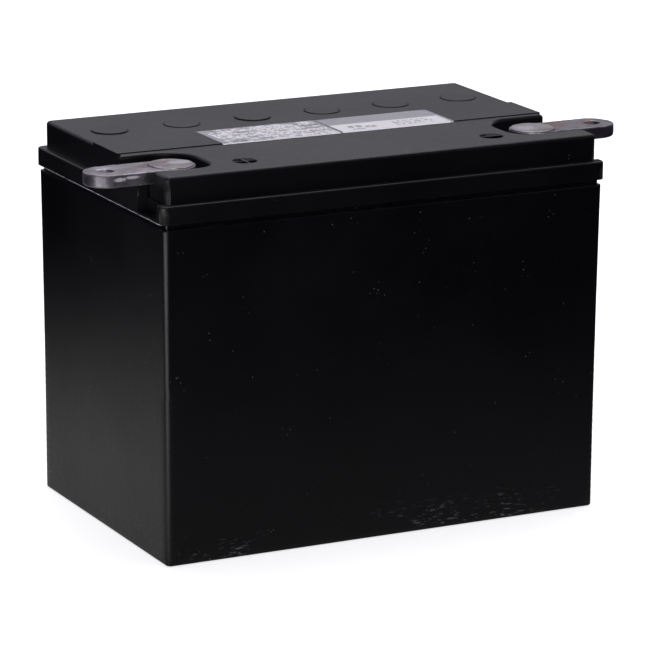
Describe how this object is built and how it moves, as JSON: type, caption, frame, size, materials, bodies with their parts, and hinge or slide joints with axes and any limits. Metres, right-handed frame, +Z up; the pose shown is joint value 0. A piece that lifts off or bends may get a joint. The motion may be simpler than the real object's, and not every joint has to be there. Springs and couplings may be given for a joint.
{
  "type": "motorcycle battery",
  "caption": "Sealed black block battery for a motorcycle, with a stepped lid, a row of round vent covers, a label strip and flat lead lugs that leave the lid at both ends.",
  "frame": {"origin": "centre of the case's base face", "axes": "+X towards the negative lug, -Y to the front, which is the side the lugs are nearer to, +Z up"},
  "size_m": [0.2448, 0.13, 0.1632],
  "materials": {
    "case_plastic": "satin black polypropylene, moulded",
    "lid_plastic": "satin black polypropylene, moulded",
    "cover_plastic": "satin black polypropylene, moulded",
    "valve_rubber": "soft black rubber",
    "label_film": "thin printed silver and white film",
    "terminal_lead": null,
    "cast_lead": null,
    "positive_plate": "pasted lead dioxide on a lead grid, dark brown",
    "negative_plate": "pasted spongy lead on a lead grid, grey",
    "glass_mat": "absorbent glass mat, white"
  },
  "bodies": {
    "battery": {"case": "case_plastic", "cell_1_negative_plates": "negative_plate", "cell_1_negative_strap": "cast_lead", "cell_1_positive_plates": "positive_plate", "cell_1_separators": "glass_mat", "cell_2_negative_plates": "negative_plate", "cell_2_negative_strap": "cast_lead", "cell_2_positive_plates": "positive_plate", "cell_2_positive_strap": "cast_lead", "cell_2_separators": "glass_mat", "cell_3_negative_plates": "negative_plate", "cell_3_negative_strap": "cast_lead", "cell_3_positive_plates": "positive_plate", "cell_3_positive_strap": "cast_lead", "cell_3_separators": "glass_mat", "cell_4_negative_plates": "negative_plate", "cell_4_negative_strap": "cast_lead", "cell_4_positive_plates": "positive_plate", "cell_4_positive_strap": "cast_lead", "cell_4_separators": "glass_mat", "cell_5_negative_plates": "negative_plate", "cell_5_negative_strap": "cast_lead", "cell_5_positive_plates": "positive_plate", "cell_5_positive_strap": "cast_lead", "cell_5_separators": "glass_mat", "cell_6_negative_plates": "negative_plate", "cell_6_positive_plates": "positive_plate", "cell_6_positive_strap": "cast_lead", "cell_6_separators": "glass_mat", "label_left": "label_film", "label_right": "label_film", "lid": "lid_plastic", "negative_lug": "terminal_lead", "negative_terminal_post": "cast_lead", "positive_lug": "terminal_lead", "positive_terminal_post": "cast_lead"},
    "vent_cover_1": {"vent_cover_1": "cover_plastic"},
    "relief_valve_1": {"relief_valve_1": "valve_rubber"},
    "vent_cover_2": {"vent_cover_2": "cover_plastic"},
    "relief_valve_2": {"relief_valve_2": "valve_rubber"},
    "vent_cover_3": {"vent_cover_3": "cover_plastic"},
    "relief_valve_3": {"relief_valve_3": "valve_rubber"},
    "vent_cover_4": {"vent_cover_4": "cover_plastic"},
    "relief_valve_4": {"relief_valve_4": "valve_rubber"},
    "vent_cover_5": {"vent_cover_5": "cover_plastic"},
    "relief_valve_5": {"relief_valve_5": "valve_rubber"},
    "vent_cover_6": {"vent_cover_6": "cover_plastic"},
    "relief_valve_6": {"relief_valve_6": "valve_rubber"}
  },
  "joints": [
    {"name": "vent_cover_1_lift", "type": "slide", "parent": "battery", "child": "vent_cover_1", "axis": [0, 0, 1], "range_m": [0, 0.03]},
    {"name": "relief_valve_1_lift", "type": "slide", "parent": "battery", "child": "relief_valve_1", "axis": [0, 0, 1], "range_m": [0, 0.0008], "stiffness_N_per_m": 700, "springref_m": -0.0005},
    {"name": "vent_cover_2_lift", "type": "slide", "parent": "battery", "child": "vent_cover_2", "axis": [0, 0, 1], "range_m": [0, 0.03]},
    {"name": "relief_valve_2_lift", "type": "slide", "parent": "battery", "child": "relief_valve_2", "axis": [0, 0, 1], "range_m": [0, 0.0008], "stiffness_N_per_m": 700, "springref_m": -0.0005},
    {"name": "vent_cover_3_lift", "type": "slide", "parent": "battery", "child": "vent_cover_3", "axis": [0, 0, 1], "range_m": [0, 0.03]},
    {"name": "relief_valve_3_lift", "type": "slide", "parent": "battery", "child": "relief_valve_3", "axis": [0, 0, 1], "range_m": [0, 0.0008], "stiffness_N_per_m": 700, "springref_m": -0.0005},
    {"name": "vent_cover_4_lift", "type": "slide", "parent": "battery", "child": "vent_cover_4", "axis": [0, 0, 1], "range_m": [0, 0.03]},
    {"name": "relief_valve_4_lift", "type": "slide", "parent": "battery", "child": "relief_valve_4", "axis": [0, 0, 1], "range_m": [0, 0.0008], "stiffness_N_per_m": 700, "springref_m": -0.0005},
    {"name": "vent_cover_5_lift", "type": "slide", "parent": "battery", "child": "vent_cover_5", "axis": [0, 0, 1], "range_m": [0, 0.03]},
    {"name": "relief_valve_5_lift", "type": "slide", "parent": "battery", "child": "relief_valve_5", "axis": [0, 0, 1], "range_m": [0, 0.0008], "stiffness_N_per_m": 700, "springref_m": -0.0005},
    {"name": "vent_cover_6_lift", "type": "slide", "parent": "battery", "child": "vent_cover_6", "axis": [0, 0, 1], "range_m": [0, 0.03]},
    {"name": "relief_valve_6_lift", "type": "slide", "parent": "battery", "child": "relief_valve_6", "axis": [0, 0, 1], "range_m": [0, 0.0008], "stiffness_N_per_m": 700, "springref_m": -0.0005}
  ]
}
